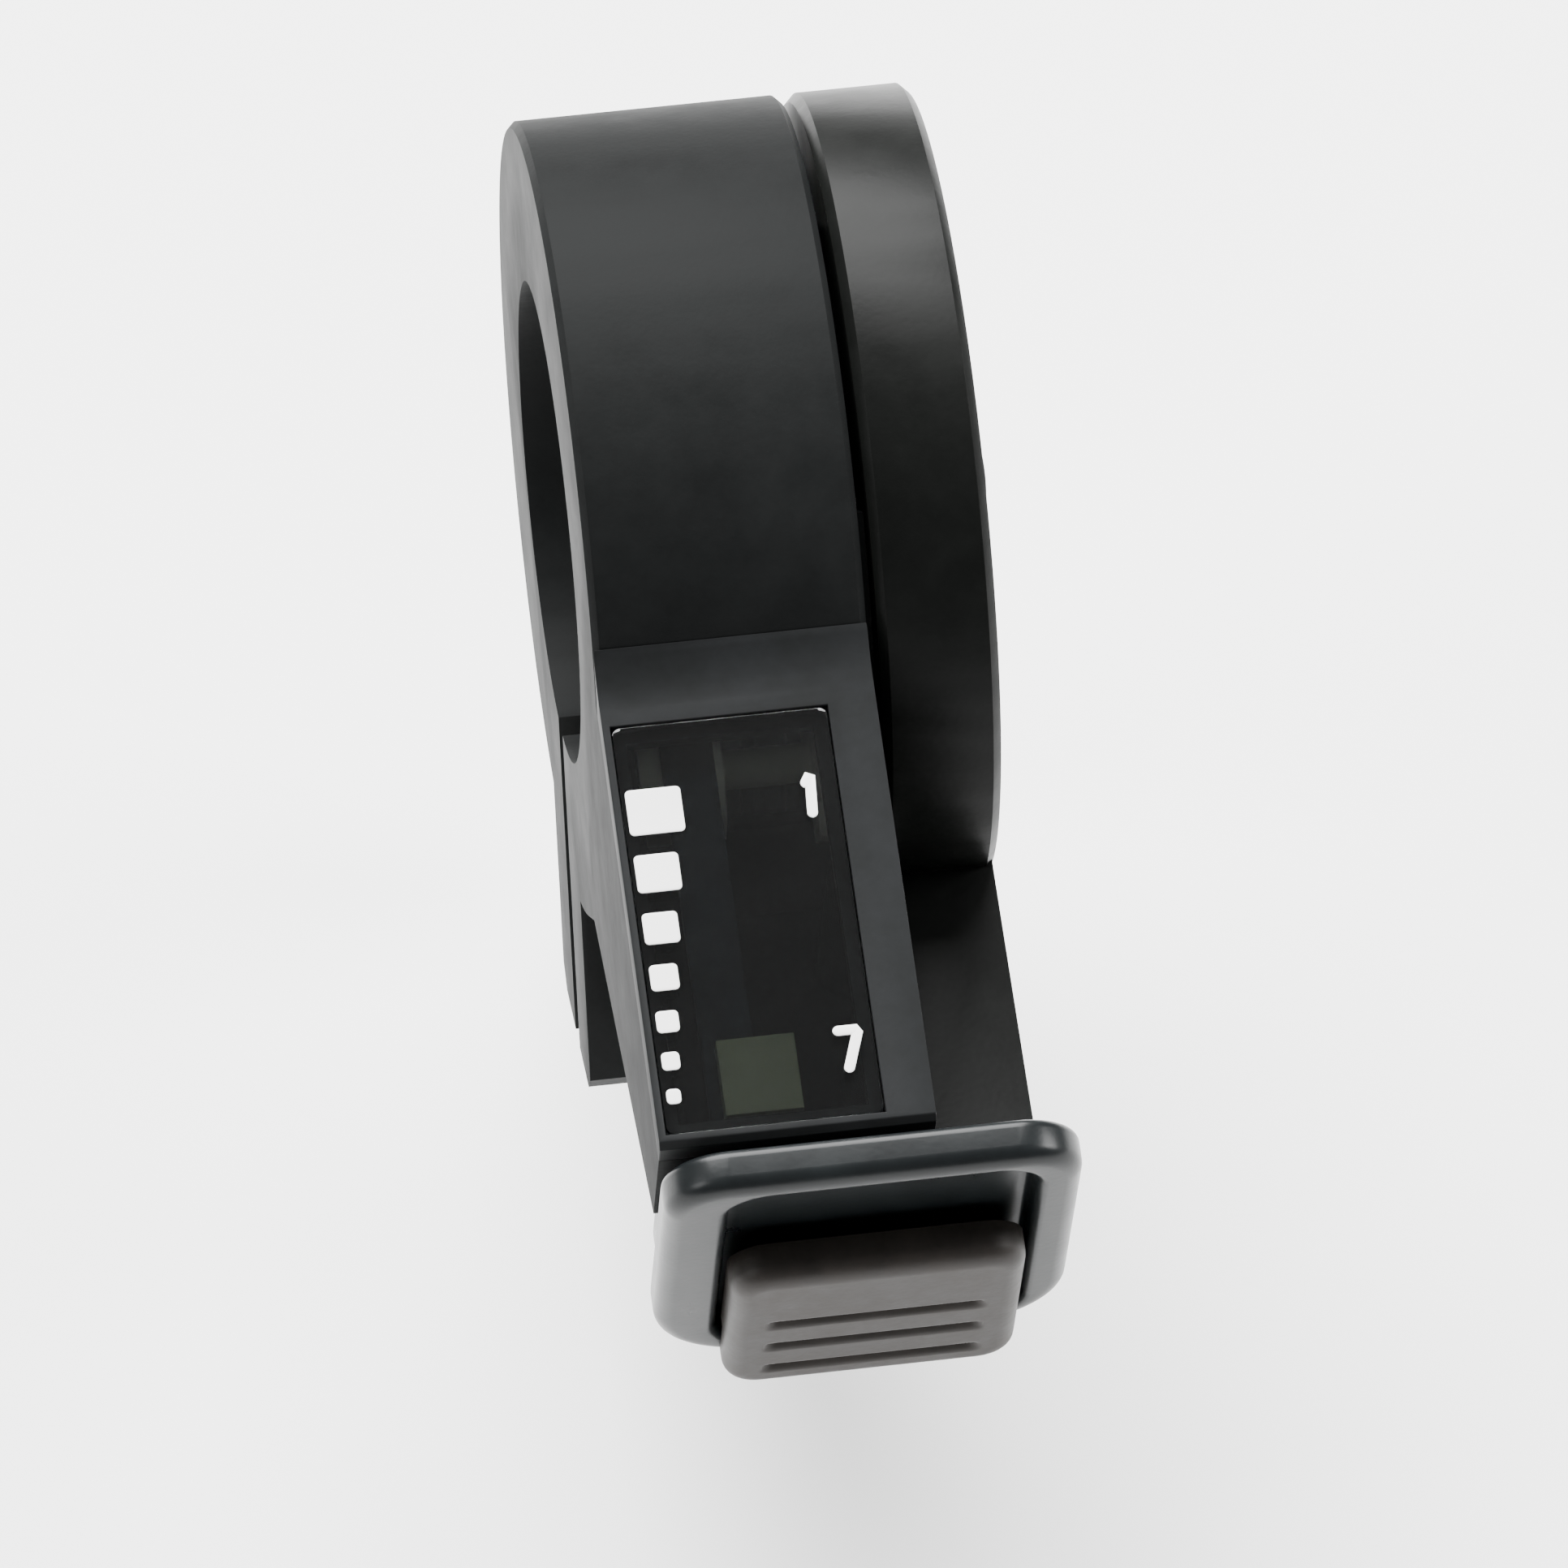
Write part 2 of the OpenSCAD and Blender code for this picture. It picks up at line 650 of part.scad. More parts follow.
module thrust_washer()
    color("#9a9d9f") tongue_frame() tube(turn_r, flange_r - 1.2, hub_face + touch, hub_face + 0.3);

module circlip()
    color("#9a9d9f") tongue_frame() along_bar(hub_face + 0.4, hub_face + 1) difference() {
        union() {
            sector(sleeve_r - 0.45, sleeve_r + 1.1, 100, 430);
            for (a = [103, 427])
                translate(pol(sleeve_r + 1.2, a)) circle(1.2, $fn = 48);
        }
        circle(sleeve_r - 0.45);
        sector(1, 20, 73, 98);
        for (a = [103, 427])
            translate(pol(sleeve_r + 1.3, a)) circle(0.5, $fn = 32);
    }

module thumb_paddle()
    color("#26292a") tongue_frame() difference() {
        union() {
            along_tongue(paddle_back, paddle_front)
                translate([paddle_mid, (paddle_top + paddle_bottom) / 2])
                    shield(paddle_w, paddle_h, paddle_round, paddle_low_round);
            along_tongue(block_back, paddle_back + eps)
                translate([paddle_mid, (block_top + paddle_bottom) / 2])
                    shield(paddle_w - 1, block_top - paddle_bottom - 0.6, 0.8, paddle_low_round - 0.5);
        }
        along_tongue(paddle_front - recess_depth, paddle_front + 1)
            translate([pad_mid, (recess_top + recess_bottom) / 2])
                rounded_rect(pad_w + 2 * pad_side_gap, recess_top - recess_bottom, 2);
        along_tongue(pocket_floor, paddle_front + 1)
            translate([pad_mid, stem_top - stem_h / 2])
                rounded_rect(pad_w - 1.6, stem_h, 1);
        for (x = paddle_screw_xs)
            translate([x, 0, paddle_screw_h]) rotate([90, 0, 0]) {
                cylinder(r = paddle_screw_r + 0.1, h = 60);
                translate([0, 0, pocket_floor - 1.3]) cylinder(r = 1.9, h = 10);
            }
    }

module paddle_screws()
    color("#6d7072") tongue_frame() for (x = paddle_screw_xs)
        translate([x, 0, paddle_screw_h]) rotate([90, 0, 0]) difference() {
            union() {
                translate([0, 0, block_back - foot_t]) cylinder(r = paddle_screw_r, h = foot_t + 2);
                translate([0, 0, pocket_floor - 1.3]) cylinder(r = 1.8, h = 1.2);
            }
            translate([0, 0, pocket_floor - 0.8]) cylinder(r = 0.8, h = 3, $fn = 6);
        }

module thumb_pad()
    color("#4b4644") tongue_frame() difference() {
        union() {
            along_tongue(paddle_front, pad_front)
                translate([pad_mid, (pad_top + pad_bottom) / 2]) rounded_rect(pad_w, pad_h, 1.8);
            along_tongue(pocket_floor + touch, paddle_front + eps)
                translate([pad_mid, stem_top - stem_h / 2])
                    rounded_rect(pad_w - 1.6 - 2 * touch, stem_h - 2 * touch, 1);
            // The pad reaches a little way into the recess
            along_tongue(paddle_front - pad_sunk, paddle_front + eps)
                translate([pad_mid, (pad_top + recess_bottom + pad_side_gap) / 2])
                    rounded_rect(pad_w, pad_top - recess_bottom - pad_side_gap, 1.8);
        }
        for (h = pad_grooves)
            translate([pad_mid - pad_w / 2 + 1.6, -pad_front - 1, h - 0.4]) cube([pad_w - 3.2, 1.5, 0.8]);
    }

housing();
clamp_bolt();
clamp_nut();
display_bezel();
display_lens();
gear_marks();
bezel_screws();
pointer();
indicator_band();
idler_pinion();
spool();
index_ring();
click_spring();
stop_pin();
cable_port_plug();
barrel_adjuster();
adjuster_spring();
lever_arm();
hub_bush();
thrust_washer();
circlip();
thumb_paddle();
paddle_screws();
thumb_pad();
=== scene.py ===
import json
import math

import bmesh
import bpy
import numpy as np
from mathutils import Matrix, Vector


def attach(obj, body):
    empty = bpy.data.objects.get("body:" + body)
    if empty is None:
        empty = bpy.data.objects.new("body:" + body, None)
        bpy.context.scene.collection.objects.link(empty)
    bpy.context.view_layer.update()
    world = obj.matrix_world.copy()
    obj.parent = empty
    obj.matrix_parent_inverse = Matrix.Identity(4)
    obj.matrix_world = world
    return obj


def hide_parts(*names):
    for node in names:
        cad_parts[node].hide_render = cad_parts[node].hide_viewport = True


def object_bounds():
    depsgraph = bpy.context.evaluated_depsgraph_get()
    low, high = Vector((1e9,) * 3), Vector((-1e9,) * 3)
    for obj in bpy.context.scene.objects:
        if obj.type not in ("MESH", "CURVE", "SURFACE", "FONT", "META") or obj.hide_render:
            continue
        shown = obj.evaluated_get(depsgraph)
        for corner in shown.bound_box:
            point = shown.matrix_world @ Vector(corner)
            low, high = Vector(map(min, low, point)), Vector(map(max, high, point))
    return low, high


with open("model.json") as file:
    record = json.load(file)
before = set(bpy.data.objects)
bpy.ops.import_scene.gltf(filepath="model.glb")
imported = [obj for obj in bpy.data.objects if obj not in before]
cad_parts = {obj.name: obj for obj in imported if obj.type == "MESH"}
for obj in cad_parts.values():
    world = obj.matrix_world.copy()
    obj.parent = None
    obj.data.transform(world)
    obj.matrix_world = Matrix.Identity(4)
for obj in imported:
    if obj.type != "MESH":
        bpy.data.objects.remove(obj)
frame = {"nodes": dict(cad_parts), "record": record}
cad_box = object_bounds()

# ---------------------------------------------------------------------------------------
# Housing: one moulding in black glass-filled nylon. It is the ring on the bar, the tongue
# that carries the display, the two clamp ears and the boss for the cable. Its corners all
# have the small radius of the mould.
# ---------------------------------------------------------------------------------------
MM = 0.001
housing_ease = 0.3
joints = {j["name"]: j for j in frame["record"]["behaviour"]["joints"]}
across = np.array([1.0, 0.0, 0.0])
tongue_back = np.array(joints["pointer_slide"]["axis"])
# The tongue's frame, as rows: across the bar, back to the bar, up from the display
tongue = np.array([across, tongue_back, np.cross(across, tongue_back)])


def points_of(node, axes):
    """The vertices of a CAD node in the frame whose directions are the rows of axes, in mm."""
    return np.array([v.co for v in frame["nodes"][node].data.vertices]) @ axes.T / MM


def span(node, axes):
    """Lowest and highest corner of a CAD node in the given frame, in mm."""
    points = points_of(node, axes)
    return points.min(axis=0), points.max(axis=0)


def add(tree, kind, settings=None, **links):
    """Adds one shader node: settings are its properties, links its inputs by name or by i and number."""
    made = tree.nodes.new("ShaderNode" + kind)
    for key, value in (settings or {}).items():
        setattr(made, key, value)
    for key, value in links.items():
        by_number = key[0] == "i" and key[1:].isdigit()
        socket = made.inputs[int(key[1:]) if by_number else key.replace("_", " ")]
        if isinstance(value, bpy.types.NodeSocket):
            tree.links.new(value, socket)
        else:
            socket.default_value = value
    return made


def linear(code):
    """An sRGB hex code as a linear colour with full alpha."""
    c = np.array([int(code[i : i + 2], 16) for i in (1, 3, 5)]) / 255
    c = np.where(c <= 0.04045, c / 12.92, ((c + 0.055) / 1.055) ** 2.4)
    return (*c, 1.0)


def finish(name, shadow, light, rough, grain_mm, bump, patch_mm=6.0, **fixed):
    """A moulded or ground finish: the colour drifts from shadow to light and the roughness over
    its two values in patches, and a grain of grain_mm stands up as bump."""
    relief_mm = 0.02
    patch_ends = {"From_Min": 0.3, "From_Max": 0.7}
    made = bpy.data.materials.new(name)
    made.use_nodes = True
    tree = made.node_tree
    shader = tree.nodes["Principled BSDF"]
    place = add(tree, "TexCoord").outputs["Object"]
    patch = add(tree, "TexNoise", Vector=place, Scale=1 / (patch_mm * MM), Detail=5.0, Roughness=0.65)
    grain = add(tree, "TexNoise", Vector=place, Scale=1 / (grain_mm * MM), Detail=2.0, Roughness=0.5)
    drift = add(tree, "MapRange", Value=patch.outputs["Fac"], **patch_ends)
    tone = add(tree, "Mix", {"data_type": "RGBA"}, i0=drift.outputs[0], i6=linear(shadow), i7=linear(light))
    tree.links.new(tone.outputs[2], shader.inputs["Base Color"])
    sheen = add(tree, "MapRange", Value=patch.outputs["Fac"], **patch_ends, To_Min=rough[0], To_Max=rough[1])
    tree.links.new(sheen.outputs[0], shader.inputs["Roughness"])
    relief = add(tree, "Bump", Height=grain.outputs["Fac"], Strength=bump, Distance=relief_mm * MM)
    tree.links.new(relief.outputs[0], shader.inputs["Normal"])
    for key, value in fixed.items():
        shader.inputs[key.replace("_", " ")].default_value = value
    return made


def coat(node, material):
    """Gives a CAD node that stays in view its finish."""
    mesh = frame["nodes"][node].data
    mesh.materials.clear()
    mesh.materials.append(material)


def settle(obj, body, slot_name, material, *nodes):
    """Gives a new piece its finish and its body, and hides the CAD nodes it stands for. The slot name is not
    used.
    """
    obj.data.materials.clear()
    obj.data.materials.append(material)
    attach(obj, body)
    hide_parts(*nodes)


def shown(name, mesh):
    """A new object for a mesh, in the scene."""
    obj = bpy.data.objects.new(name, mesh)
    bpy.context.scene.collection.objects.link(obj)
    return obj


def eased_copy(name, node, radius):
    """A copy of a CAD solid: welded, its flat faces joined, and every sharp edge rounded."""
    weld_mm = 0.002
    flat_angle = math.radians(0.4)
    sharp_angle = math.radians(28)
    mesh = frame["nodes"][node].data.copy()
    work = bmesh.new()
    work.from_mesh(mesh)
    bmesh.ops.remove_doubles(work, verts=work.verts, dist=weld_mm * MM)
    bmesh.ops.dissolve_limit(work, angle_limit=flat_angle, verts=work.verts, edges=work.edges)
    for face in work.faces:
        face.smooth = True
    work.to_mesh(mesh)
    work.free()
    obj = shown(name, mesh)
    ease = obj.modifiers.new("ease", "BEVEL")
    ease.width = radius * MM
    ease.segments = 3
    ease.limit_method = "ANGLE"
    ease.angle_limit = sharp_angle
    ease.harden_normals = True
    return obj


# Glass-filled nylon from a spark-eroded mould: dark satin with a fine even grain. The real
# grain is near 0.1 mm, and it is drawn at 0.3 mm so that it shows.
nylon = finish(
    "glass_filled_nylon", "#111212", "#161717", (0.52, 0.6), 0.3, 0.35,
    patch_mm=3, IOR=1.5, Specular_IOR_Level=0.04,
)
settle(eased_copy("housing_shell", "housing", housing_ease), "housing", "housing_nylon", nylon, "housing")

# ---------------------------------------------------------------------------------------
# Clamp bolt and nut: zinc-plated steel. The bolt is an M4 socket head with a knurled side,
# through the two ears below the ring, and its nut sits in the front ear.
# ---------------------------------------------------------------------------------------
ear_angle = math.radians(-55)
socket_across = 3.0
socket_depth = 2.0
head_radius = 3.5
head_height = 3.2
head_round = 0.45
foot_round = 0.3
knurl = 0.12
knurl_run = 0.05
shank_radius = 2.0
shank_chamfer = 0.4
bolt_sides = 216


def skin(name, loops, axes=tongue, closed=False):
    """A closed surface through loops of points, shaped (loops, points, 3) and given in mm in the
    frame axes: quads join neighbouring loops. A fan closes each open end, and closed joins the
    last loop to the first instead."""
    weld_mm = 0.0005
    crease = math.radians(40)
    rows, points = loops.shape[:2]
    flat = loops.reshape(-1, 3)
    start = np.arange(rows if closed else rows - 1)[:, None] * points
    follow = (start + points) % (rows * points)
    here = np.arange(points)[None, :]
    there = (here + 1) % points
    quads = np.stack([start + here, start + there, follow + there, follow + here], axis=-1)
    faces = quads.reshape(-1, 4).tolist()
    for end in () if closed else (0, rows - 1):
        flat = np.vstack([flat, loops[end].mean(axis=0)])
        centre = np.full(points, len(flat) - 1)
        fan = np.stack([end * points + here[0], end * points + there[0], centre], axis=-1)
        faces += fan.tolist()
    mesh = bpy.data.meshes.new(name)
    mesh.from_pydata((flat @ axes * MM).tolist(), [], faces)
    work = bmesh.new()
    work.from_mesh(mesh)
    bmesh.ops.remove_doubles(work, verts=work.verts, dist=weld_mm * MM)
    bmesh.ops.recalc_face_normals(work, faces=work.faces)
    for face in work.faces:
        face.smooth = True
    for edge in work.edges:
        edge.smooth = len(edge.link_faces) == 2 and edge.calc_face_angle(0) < crease
    work.to_mesh(mesh)
    work.free()
    obj = shown(name, mesh)
    level = obj.modifiers.new("even_shading", "WEIGHTED_NORMAL")
    level.keep_sharp = True
    return obj


def turned(profile, middle, ribs=0.0, count=12, sides=96):
    """Loops of a turned part about the third direction of its frame: each row of the profile is
    (radius, height, share of the ribs), and r = radius + share * ribs * cos(count * angle)."""
    profile = np.array(profile, dtype=float)
    angle = np.linspace(0, 2 * np.pi, sides, endpoint=False)
    radius = profile[:, :1] + profile[:, 2:3] * ribs * np.cos(count * angle)[None, :]
    height = np.repeat(profile[:, 1:2], sides, axis=1)
    loops = np.stack([radius * np.cos(angle), radius * np.sin(angle), height], axis=-1)
    return loops + np.array(middle)


# The bolt's frame: its third direction is the bolt's axis, square to the ears
ear_turn = np.pi - ear_angle
bolt_way = np.array([
    [1.0, 0.0, 0.0],
    [0.0, math.cos(ear_turn), math.sin(ear_turn)],
    [0.0, -math.sin(ear_turn), math.cos(ear_turn)],
]) @ tongue
bolt_low, bolt_high = span("clamp_bolt", bolt_way)
bolt_middle = ((bolt_low[0] + bolt_high[0]) / 2, (bolt_low[1] + bolt_high[1]) / 2, 0.0)
under_head = bolt_low[2] + head_height
socket_floor = bolt_low[2] + socket_depth
bolt_loops = turned(
    [
        (1.0, socket_floor, 0),
        (1.0, bolt_low[2] + 0.15, 0),
        (2.0, bolt_low[2], 0),
        (head_radius - head_round, bolt_low[2], 0),
        (head_radius - 0.13, bolt_low[2] + 0.13, 0),
        (head_radius - knurl, bolt_low[2] + head_round, 0),
        (head_radius - knurl, bolt_low[2] + (head_round + knurl_run), 1),
        (head_radius - knurl, under_head - (foot_round + knurl_run), 1),
        (head_radius - knurl, under_head - foot_round, 0),
        (head_radius - 0.25, under_head, 0),
        (shank_radius, under_head, 0),
        (shank_radius, bolt_high[2] - shank_chamfer, 0),
        (shank_radius - shank_chamfer, bolt_high[2], 0),
    ],
    (0, 0, 0),
    ribs=knurl,
    count=36,
    sides=bolt_sides,
)
# The first two loops are the six-sided socket: r = half the flats / cos(angle to the flat)
bolt_angle = np.linspace(0, 2 * np.pi, bolt_sides, endpoint=False)
to_flat = (bolt_angle + np.pi / 6) % (np.pi / 3) - np.pi / 6
bolt_loops[:2, :, :2] *= (socket_across / 2 / np.cos(to_flat))[None, :, None]
bolt_loops += np.array(bolt_middle)
# Bright zinc over turned steel: it gives small cool glints below the ring
zinc = finish("zinc_plate", "#8d9193", "#a3a7a9", (0.28, 0.4), 0.25, 0.3, Metallic=1.0)
settle(skin("clamp_screw", bolt_loops, bolt_way), "housing", "zinc_steel", zinc, "clamp_bolt")
coat("clamp_nut", zinc)

# ---------------------------------------------------------------------------------------
# Display bezel: a black ABS frame, screwed on from below. It holds the window and runs up
# the ring in a hollow fillet. Its two screws sit in the tongue's underside.
# ---------------------------------------------------------------------------------------
bezel_ease = 0.3
# Textured ABS: a little greyer than the housing, which draws the strip beside the window
bezel_abs = finish(
    "black_textured_abs", "#181919", "#1d1e1f", (0.5, 0.58), 0.35, 0.3,
    patch_mm=3, IOR=1.5, Specular_IOR_Level=0.05,
)
settle(
    eased_copy("bezel_frame", "display_bezel", bezel_ease),
    "housing", "bezel_plastic", bezel_abs, "display_bezel",
)
# Phosphated screw steel: a dull dark grey, so that the small heads stay quiet
dark_steel = finish("phosphated_steel", "#3a3d3f", "#474a4c", (0.42, 0.55), 0.2, 0.35, Metallic=1.0)
coat("bezel_screws", dark_steel)

# ---------------------------------------------------------------------------------------
# Window: a smoked acrylic lens pressed into the bezel, polished, with softened rims.
# ---------------------------------------------------------------------------------------
window_corner = 0.4
window_rim = 0.04


def box_outline(half_w, half_h, radius, count=96):
    """A rounded rectangle as (count, 2): each corner's centre lies its radius inside the sides,
    and its arc has a quarter of the points. Corners run from the upper right one, leftwards."""
    turn = np.linspace(0, 0.5 * np.pi, count // 4)
    corner = np.repeat(np.array([[1, 1], [-1, 1], [-1, -1], [1, -1]]), count // 4, axis=0)
    radius = np.repeat(np.broadcast_to(radius, 4), count // 4)[:, None]
    angle = (turn[None, :] + np.arange(4)[:, None] * 0.5 * np.pi).ravel()
    middle = corner * (np.array([half_w, half_h]) - radius)
    return middle + radius * np.stack([np.cos(angle), np.sin(angle)], axis=-1)


def rounded_slab(name, low, high, corner, rim, axis=2, steps=6):
    """A slab between two corners of the tongue's frame. Its outline, square to the axis, has the
    corner radius, and both rims are round: inset = rim (1 - sin t), depth = rim (1 - cos t). One
    more loop on each flat keeps the shading of the rim off it."""
    flat_share = 0.6
    wide, tall = (i for i in range(3) if i != axis)
    middle = (low + high) / 2
    half = (high - low) / 2
    turn = np.linspace(0, 0.5 * np.pi, steps)
    inset = np.concatenate([[rim + flat_share * (corner - rim)], rim * (1 - np.sin(turn))])
    depth = np.concatenate([[0], rim * (1 - np.cos(turn))])
    inset = np.concatenate([inset, inset[::-1]])
    depth = np.concatenate([depth, 2 * half[axis] - depth[::-1]])
    outline = np.array([box_outline(half[wide] - i, half[tall] - i, corner - i) for i in inset])
    loops = np.zeros((*outline.shape[:2], 3))
    loops[:, :, wide] = outline[:, :, 0] + middle[wide]
    loops[:, :, tall] = outline[:, :, 1] + middle[tall]
    loops[:, :, axis] = low[axis] + depth[:, None]
    return skin(name, loops)


lens_low, lens_high = span("display_lens", tongue)
# Smoked acrylic: near black and glossy, with just enough light through it for the pointer
smoked = finish(
    "smoked_acrylic", "#8d9290", "#929695", (0.06, 0.09), 0.6, 0.02,
    IOR=1.49, Transmission_Weight=1.0,
)
settle(
    rounded_slab("window_lens", lens_low, lens_high, window_corner, window_rim),
    "housing", "smoked_window", smoked, "display_lens",
)

# ---------------------------------------------------------------------------------------
# Gear marks: white pad print on the window, seven squares that shrink toward the paddle,
# with the numbers of the first and the last gear beside them.
# ---------------------------------------------------------------------------------------
print_corner = 0.22
print_film = 0.025
stroke_half = 0.24
mark_points = points_of("gear_marks", tongue)
square_points = mark_points[mark_points[:, 0] < 0]
digit_points = mark_points[mark_points[:, 0] > 1.5]
print_low, print_high = mark_points[:, 2].min(), mark_points[:, 2].max()
edges = np.unique(square_points[:, 1].round(3)).reshape(-1, 2)
# Pad-printed ink: flat matt white, the brightest thing on the part
white_ink = finish("white_pad_print", "#f4f4f2", "#fafaf9", (0.5, 0.6), 0.25, 0.15)


def stroke(name, path, half_w):
    """A printed stroke: a flat oval, half_w wide each way and as thick as the film, carried along
    the path with its ends rounded, half_w * sqrt(1 - t^2) over the last half_w of each."""
    path = np.array(path, dtype=float)
    step = np.diff(path, axis=0)
    long = np.concatenate([[0], np.cumsum(np.hypot(*step.T))])
    cap = half_w * (1 - np.cos(np.linspace(0.15, 0.5 * np.pi, 5)))
    where = np.unique(np.concatenate([long[1:-1], cap, long[-1] - cap]).round(5))
    spots = np.stack([np.interp(where, long, path[:, i]) for i in (0, 1)], axis=-1)
    way = np.gradient(spots, axis=0)
    way /= np.hypot(*way.T)[:, None]
    from_end = np.minimum(where, long[-1] - where)
    half = half_w * np.sqrt(1 - (1 - np.minimum(from_end / half_w, 1)) ** 2)
    angle = np.linspace(0, 2 * np.pi, 24, endpoint=False)
    side = np.stack([-way[:, 1], way[:, 0]], axis=-1)
    flat = spots[:, None, :] + half[:, None, None] * np.cos(angle)[None, :, None] * side[:, None, :]
    middle = (print_low + print_high) / 2
    up = np.broadcast_to(middle + (print_high - print_low) / 2 * np.sin(angle)[None, :], flat.shape[:2])
    return skin(name, np.dstack([flat, up]))


prints = []
for number, (near, far) in enumerate(edges[::-1]):
    row = square_points[np.abs(square_points[:, 1] - near) < 0.01]
    low = np.array([row[:, 0].min(), near, print_low])
    high = np.array([row[:, 0].max(), far, print_high])
    prints.append(rounded_slab(f"gear_square_{number + 1}", low, high, print_corner, print_film, steps=3))
split = (digit_points[:, 1].min() + digit_points[:, 1].max()) / 2
for name, keep, path in (
    ("digit_one", digit_points[:, 1] > split, [(0.05, 0.72), (0.62, 1.0), (0.62, 0.98), (0.42, 0.0)]),
    ("digit_seven", digit_points[:, 1] < split, [(0.0, 1.0), (0.98, 1.0), (1.0, 0.97), (0.4, 0.0)]),
):
    low, high = digit_points[keep].min(axis=0), digit_points[keep].max(axis=0)
    inner = np.array([low[:2] + stroke_half, high[:2] - stroke_half])
    prints.append(stroke(name, inner[0] + np.array(path) * (inner[1] - inner[0]), stroke_half))
for piece in prints:
    settle(piece, "housing", "white_print", white_ink, "gear_marks")

# ---------------------------------------------------------------------------------------
# Pointer drive: an olive nylon flag behind the window, pulled by a blued steel band that
# winds on the pinion. The pinion is natural acetal and meshes with the spool.
# ---------------------------------------------------------------------------------------
# Olive nylon: a dull patch that shows faintly through the smoked window
olive_nylon = finish("olive_nylon", "#6c7058", "#787c63", (0.5, 0.6), 0.3, 0.2)
coat("pointer", olive_nylon)
# Blued spring steel: nearly black, with a soft glint along the band
blued = finish("blued_steel_band", "#14161a", "#1c1f23", (0.35, 0.45), 0.15, 0.2, Metallic=1.0)
coat("indicator_band", blued)
# Natural acetal: a waxy, slightly uneven off-white
acetal = finish("natural_acetal", "#c9c5b8", "#d6d2c6", (0.35, 0.45), 0.3, 0.15)
coat("idler_pinion", acetal)

# ---------------------------------------------------------------------------------------
# Spool and detent, inside the ring: a black acetal spool for the cable, a stamped index
# plate with seven notches, its leaf spring and the stop pin.
# ---------------------------------------------------------------------------------------
# Black acetal: smoother than the nylon, with faint broad highlights
small_black = finish(
    "small_black_acetal", "#121414", "#191b1b", (0.38, 0.46), 0.3, 0.25,
    patch_mm=3, IOR=1.48, Specular_IOR_Level=0.2,
)
# Stamped plate: bare steel in a satin mid grey
plate_steel = finish("stamped_steel_plate", "#6f7376", "#83878a", (0.32, 0.42), 0.3, 0.3, Metallic=1.0)
# Drawn spring steel: brighter than the plate, with narrow highlights
spring_steel = finish("drawn_spring_steel", "#7d8184", "#8e9295", (0.22, 0.32), 0.2, 0.25, Metallic=1.0)
coat("spool", small_black)
coat("index_ring", plate_steel)
coat("stop_pin", plate_steel)
coat("click_spring", spring_steel)

# ---------------------------------------------------------------------------------------
# Cable entry: a plug with a coin slot closes the drum, and a ribbed barrel adjuster turns
# in the boss below it, held by a coil spring.
# ---------------------------------------------------------------------------------------
rib_height = 0.28
rib_count = 12
rib_inset = 0.2
knob_radius = 3.9
knob_bottom_round = 0.6
knob_top_round = 0.5
stud_radius = 2.5
thread_depth = 0.1
thread_pitch = 0.8
thread_rows = 100
adjuster_sides = 144
knob_length = 11.0
cable_bore = 0.9
ferrule_radius = 2.6
ferrule_depth = 6.0
wire = 0.3
coil_turns = 3
upright = np.eye(3)
adjuster_axis = [v / MM for v in joints["adjuster_turn"]["pos_m"][:2]]
knob_low, knob_high = (corner[2] for corner in span("barrel_adjuster", upright))
shoulder = knob_low + knob_length
coat("cable_port_plug", small_black)

turn = np.linspace(0, 0.5 * np.pi, 6)
bottom_radius = knob_radius - rib_inset - knob_bottom_round * (1 - np.sin(turn))
bottom_height = knob_low + knob_bottom_round * (1 - np.cos(turn))
top_radius = knob_radius - rib_inset - knob_top_round * (1 - np.cos(turn))
top_height = shoulder - knob_top_round * (1 - np.sin(turn))
thread_low, thread_high = shoulder + 0.05, knob_high - 0.4
thread = [(stud_radius - thread_depth, z, 0) for z in np.linspace(thread_low, thread_high, thread_rows)]
adjuster_loops = turned(
    [
        (cable_bore, knob_low + ferrule_depth, 0),
        (ferrule_radius, knob_low + ferrule_depth, 0),
        (ferrule_radius, knob_low + 0.3, 0),
        (ferrule_radius + 0.3, knob_low, 0),
        *[(radius, z, 0) for radius, z in zip(bottom_radius, bottom_height)],
        (knob_radius, knob_low + 2.4, 0),
        (knob_radius, knob_low + 3.0, 1),
        (knob_radius, shoulder - 1.6, 1),
        (knob_radius, shoulder - 1.0, 0),
        *[(radius, z, 0) for radius, z in zip(top_radius, top_height)],
        *thread,
        (stud_radius - 0.5, knob_high, 0),
        (cable_bore, knob_high, 0),
    ],
    (0, 0, 0),
    ribs=rib_height,
    count=rib_count,
    sides=adjuster_sides,
)
# The stud's thread: r = radius + depth * cos(angle - 2 pi height / pitch), faded at both ends
adjuster_angle = np.linspace(0, 2 * np.pi, adjuster_sides, endpoint=False)
height = adjuster_loops[..., 2]
inside = np.clip(np.minimum(height - thread_low, thread_high - height) / thread_pitch, 0, 1)
crest = thread_depth * inside * np.cos(adjuster_angle - 2 * np.pi * height / thread_pitch)
adjuster_loops[..., :2] *= (1 + crest / (stud_radius - thread_depth))[..., None]
adjuster_loops += np.array([*adjuster_axis, 0])
settle(
    skin("ribbed_adjuster", adjuster_loops, upright, closed=True),
    "adjuster", "small_black_plastic", small_black, "barrel_adjuster",
)

